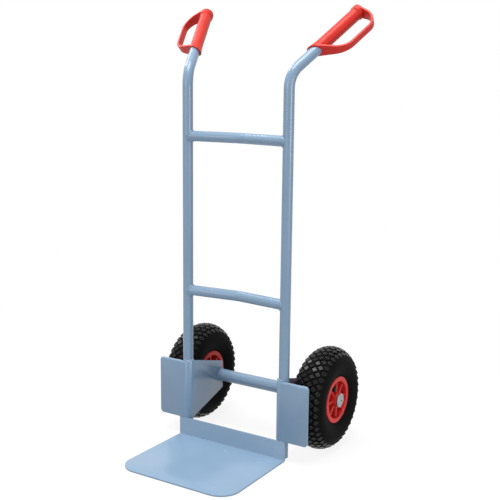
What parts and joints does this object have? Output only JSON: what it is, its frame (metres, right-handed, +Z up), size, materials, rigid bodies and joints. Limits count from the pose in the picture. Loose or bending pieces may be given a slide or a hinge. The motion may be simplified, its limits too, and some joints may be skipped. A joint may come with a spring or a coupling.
{
  "type": "hand truck",
  "caption": "Upright tubular hand truck with guarded grips at the ends of its swept-back handles, a flat toe plate and air-filled wheels on an axle behind its wheel guards.",
  "frame": {"origin": "on the floor, under the middle of the truck's outline", "axes": "+Z is up along the uprights, -Y is to the front over the toe plate, +X is to the right seen from the front, along the axle"},
  "size_m": [0.5416, 0.5258, 1.091],
  "materials": {
    "frame_paint": "grey-blue powder coat, semi-gloss",
    "grip_plastic": "soft moulded plastic, red, satin",
    "rim_plastic": "moulded plastic, red, semi-gloss",
    "tyre_rubber": "moulded tyre rubber, black",
    "tube_rubber": "butyl rubber, black, dull",
    "valve_plastic": "moulded plastic, black",
    "cage_plastic": "natural nylon",
    "cap_steel": "zinc-plated pressed steel",
    "bright_steel": "bright drawn steel"
  },
  "bodies": {
    "frame": {"toe_plate": "frame_paint", "upper_cross_tube": "frame_paint", "lower_cross_tube": "frame_paint", "axle_tube": "frame_paint", "axle": "bright_steel", "left_upright_tube": "frame_paint", "left_axle_bracket": "frame_paint", "left_grip": "grip_plastic", "left_inner_washer": "bright_steel", "left_outer_washer": "bright_steel", "left_axle_cap": "cap_steel", "right_upright_tube": "frame_paint", "right_axle_bracket": "frame_paint", "right_grip": "grip_plastic", "right_inner_washer": "bright_steel", "right_outer_washer": "bright_steel", "right_axle_cap": "cap_steel"},
    "left_wheel": {"left_tyre": "tyre_rubber", "left_inner_tube": "tube_rubber", "left_rim_inner_half": "rim_plastic", "left_rim_outer_half": "rim_plastic", "left_rim_screws": "bright_steel", "left_bearing_cage": "cage_plastic", "left_bearing_rollers": "bright_steel", "left_valve": "tube_rubber", "left_valve_cap": "valve_plastic"},
    "right_wheel": {"right_tyre": "tyre_rubber", "right_inner_tube": "tube_rubber", "right_rim_inner_half": "rim_plastic", "right_rim_outer_half": "rim_plastic", "right_rim_screws": "bright_steel", "right_bearing_cage": "cage_plastic", "right_bearing_rollers": "bright_steel", "right_valve": "tube_rubber", "right_valve_cap": "valve_plastic"}
  },
  "joints": [
    {"name": "left_wheel_spin", "type": "hinge", "parent": "frame", "child": "left_wheel", "pos_m": [-0.1915, 0.1329, 0.13], "axis": [1, 0, 0], "continuous": true},
    {"name": "right_wheel_spin", "type": "hinge", "parent": "frame", "child": "right_wheel", "pos_m": [0.1915, 0.1329, 0.13], "axis": [1, 0, 0], "continuous": true}
  ]
}
